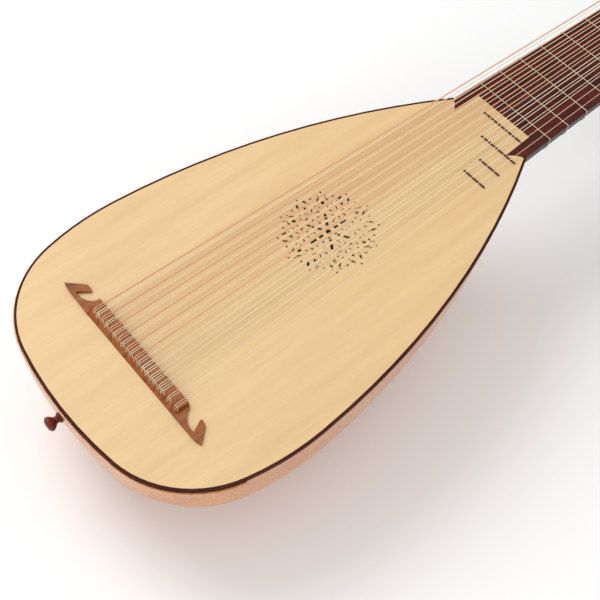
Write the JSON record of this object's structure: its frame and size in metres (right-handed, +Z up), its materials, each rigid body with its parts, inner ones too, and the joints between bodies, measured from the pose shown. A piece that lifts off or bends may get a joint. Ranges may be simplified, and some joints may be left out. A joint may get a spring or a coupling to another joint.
{
  "type": "baroque lute",
  "caption": "Plucked string instrument with a ribbed bowl back, flat soundboard with a pierced rose, tied gut frets, double courses and a bent-back pegbox with turning pegs.",
  "frame": {"origin": "centre of the bounding box's footprint, at the height of the table that the lute lies on", "axes": "+X from the tail towards the pegbox, +Y towards the bass side, +Z up; the soundboard is tilted 6.1 degrees because the lute rests on its bowl and pegbox end"},
  "size_m": [0.8488, 0.3156, 0.2091],
  "materials": {
    "bone": "satin",
    "bridge_wood": "satin",
    "button_wood": "satin",
    "clasp_wood": "satin",
    "dark_binding": "satin",
    "fingerboard_wood": "satin",
    "gut": "satin",
    "neck_veneer": "satin",
    "peg_wood": "satin",
    "pegbox_wood": "satin",
    "rib_wood": "satin",
    "spruce": "satin",
    "spruce_inner": "satin"
  },
  "bodies": {
    "lute": {"bowl_rib_1": "rib_wood", "bowl_rib_2": "rib_wood", "bowl_rib_3": "rib_wood", "bowl_rib_4": "rib_wood", "bowl_rib_5": "rib_wood", "bowl_rib_6": "rib_wood", "bowl_rib_7": "rib_wood", "bowl_rib_8": "rib_wood", "bowl_rib_9": "rib_wood", "bridge": "bridge_wood", "edge_binding": "dark_binding", "end_button": "button_wood", "end_clasp": "clasp_wood", "fingerboard": "fingerboard_wood", "neck": "neck_veneer", "nut": "bone", "pegbox_back": "pegbox_wood", "pegbox_cheek_bass": "pegbox_wood", "pegbox_cheek_treble": "pegbox_wood", "soundboard": "spruce", "string_course_01": "gut", "string_course_02": "gut", "string_course_03": "gut", "string_course_04": "gut", "string_course_05": "gut", "string_course_06": "gut", "string_course_07": "gut", "string_course_08": "gut", "string_course_09": "gut", "string_course_10": "gut", "string_course_11": "gut", "tail_block": "spruce_inner"},
    "peg_01_body": {"peg_01": "peg_wood"},
    "peg_02_body": {"peg_02": "peg_wood"},
    "peg_03_body": {"peg_03": "peg_wood"},
    "peg_04_body": {"peg_04": "peg_wood"},
    "peg_05_body": {"peg_05": "peg_wood"},
    "peg_06_body": {"peg_06": "peg_wood"},
    "peg_07_body": {"peg_07": "peg_wood"},
    "peg_08_body": {"peg_08": "peg_wood"},
    "peg_09_body": {"peg_09": "peg_wood"},
    "peg_10_body": {"peg_10": "peg_wood"},
    "peg_11_body": {"peg_11": "peg_wood"},
    "peg_12_body": {"peg_12": "peg_wood"},
    "peg_13_body": {"peg_13": "peg_wood"},
    "peg_14_body": {"peg_14": "peg_wood"},
    "peg_15_body": {"peg_15": "peg_wood"},
    "peg_16_body": {"peg_16": "peg_wood"},
    "peg_17_body": {"peg_17": "peg_wood"},
    "peg_18_body": {"peg_18": "peg_wood"},
    "peg_19_body": {"peg_19": "peg_wood"},
    "peg_20_body": {"peg_20": "peg_wood"},
    "tied_fret_1_body": {"tied_fret_1": "gut"},
    "tied_fret_2_body": {"tied_fret_2": "gut"},
    "tied_fret_3_body": {"tied_fret_3": "gut"},
    "tied_fret_4_body": {"tied_fret_4": "gut"},
    "tied_fret_5_body": {"tied_fret_5": "gut"},
    "tied_fret_6_body": {"tied_fret_6": "gut"},
    "tied_fret_7_body": {"tied_fret_7": "gut"},
    "tied_fret_8_body": {"tied_fret_8": "gut"}
  },
  "joints": [
    {"name": "peg_01_turn", "type": "hinge", "parent": "lute", "child": "peg_01_body", "pos_m": [0.37317, 0.005, 0.17889], "axis": [0, 1, 0], "continuous": true},
    {"name": "peg_02_turn", "type": "hinge", "parent": "lute", "child": "peg_02_body", "pos_m": [0.37544, 0.005, 0.16987], "axis": [0, 1, 0], "continuous": true},
    {"name": "peg_03_turn", "type": "hinge", "parent": "lute", "child": "peg_03_body", "pos_m": [0.37771, 0.005, 0.16085], "axis": [0, 1, 0], "continuous": true},
    {"name": "peg_04_turn", "type": "hinge", "parent": "lute", "child": "peg_04_body", "pos_m": [0.37998, 0.005, 0.15183], "axis": [0, 1, 0], "continuous": true},
    {"name": "peg_05_turn", "type": "hinge", "parent": "lute", "child": "peg_05_body", "pos_m": [0.38225, 0.005, 0.14281], "axis": [0, 1, 0], "continuous": true},
    {"name": "peg_06_turn", "type": "hinge", "parent": "lute", "child": "peg_06_body", "pos_m": [0.38452, 0.005, 0.1338], "axis": [0, 1, 0], "continuous": true},
    {"name": "peg_07_turn", "type": "hinge", "parent": "lute", "child": "peg_07_body", "pos_m": [0.38679, 0.005, 0.12478], "axis": [0, 1, 0], "continuous": true},
    {"name": "peg_08_turn", "type": "hinge", "parent": "lute", "child": "peg_08_body", "pos_m": [0.38905, 0.005, 0.11576], "axis": [0, 1, 0], "continuous": true},
    {"name": "peg_09_turn", "type": "hinge", "parent": "lute", "child": "peg_09_body", "pos_m": [0.39132, 0.005, 0.10674], "axis": [0, 1, 0], "continuous": true},
    {"name": "peg_10_turn", "type": "hinge", "parent": "lute", "child": "peg_10_body", "pos_m": [0.39359, 0.005, 0.09772], "axis": [0, 1, 0], "continuous": true},
    {"name": "peg_11_turn", "type": "hinge", "parent": "lute", "child": "peg_11_body", "pos_m": [0.39586, 0.005, 0.0887], "axis": [0, 1, 0], "continuous": true},
    {"name": "peg_12_turn", "type": "hinge", "parent": "lute", "child": "peg_12_body", "pos_m": [0.39813, 0.005, 0.07968], "axis": [0, 1, 0], "continuous": true},
    {"name": "peg_13_turn", "type": "hinge", "parent": "lute", "child": "peg_13_body", "pos_m": [0.4004, 0.005, 0.07066], "axis": [0, 1, 0], "continuous": true},
    {"name": "peg_14_turn", "type": "hinge", "parent": "lute", "child": "peg_14_body", "pos_m": [0.40267, 0.005, 0.06164], "axis": [0, 1, 0], "continuous": true},
    {"name": "peg_15_turn", "type": "hinge", "parent": "lute", "child": "peg_15_body", "pos_m": [0.40494, 0.005, 0.05262], "axis": [0, 1, 0], "continuous": true},
    {"name": "peg_16_turn", "type": "hinge", "parent": "lute", "child": "peg_16_body", "pos_m": [0.40721, 0.005, 0.04361], "axis": [0, 1, 0], "continuous": true},
    {"name": "peg_17_turn", "type": "hinge", "parent": "lute", "child": "peg_17_body", "pos_m": [0.40948, 0.005, 0.03459], "axis": [0, 1, 0], "continuous": true},
    {"name": "peg_18_turn", "type": "hinge", "parent": "lute", "child": "peg_18_body", "pos_m": [0.41175, 0.005, 0.02557], "axis": [0, 1, 0], "continuous": true},
    {"name": "peg_19_turn", "type": "hinge", "parent": "lute", "child": "peg_19_body", "pos_m": [0.41402, 0.005, 0.01655], "axis": [0, 1, 0], "continuous": true},
    {"name": "peg_20_turn", "type": "hinge", "parent": "lute", "child": "peg_20_body", "pos_m": [0.39209, 0.005, 0.17746], "axis": [0, 1, 0], "continuous": true},
    {"name": "tied_fret_1_slide", "type": "slide", "parent": "lute", "child": "tied_fret_1_body", "axis": [0.9942, 0.0171, 0.1066], "range_m": [-0.0025, 0.0025]},
    {"name": "tied_fret_2_slide", "type": "slide", "parent": "lute", "child": "tied_fret_2_body", "axis": [0.9942, 0.0171, 0.1066], "range_m": [-0.0025, 0.0025]},
    {"name": "tied_fret_3_slide", "type": "slide", "parent": "lute", "child": "tied_fret_3_body", "axis": [0.9942, 0.0171, 0.1066], "range_m": [-0.0025, 0.0025]},
    {"name": "tied_fret_4_slide", "type": "slide", "parent": "lute", "child": "tied_fret_4_body", "axis": [0.9942, 0.0171, 0.1066], "range_m": [-0.0025, 0.0025]},
    {"name": "tied_fret_5_slide", "type": "slide", "parent": "lute", "child": "tied_fret_5_body", "axis": [0.9942, 0.0171, 0.1066], "range_m": [-0.0025, 0.0025]},
    {"name": "tied_fret_6_slide", "type": "slide", "parent": "lute", "child": "tied_fret_6_body", "axis": [0.9942, 0.0171, 0.1066], "range_m": [-0.0025, 0.0025]},
    {"name": "tied_fret_7_slide", "type": "slide", "parent": "lute", "child": "tied_fret_7_body", "axis": [0.9942, 0.0171, 0.1066], "range_m": [-0.0025, 0.0025]},
    {"name": "tied_fret_8_slide", "type": "slide", "parent": "lute", "child": "tied_fret_8_body", "axis": [0.9942, 0.0171, 0.1066], "range_m": [-0.0025, 0.0025]}
  ]
}
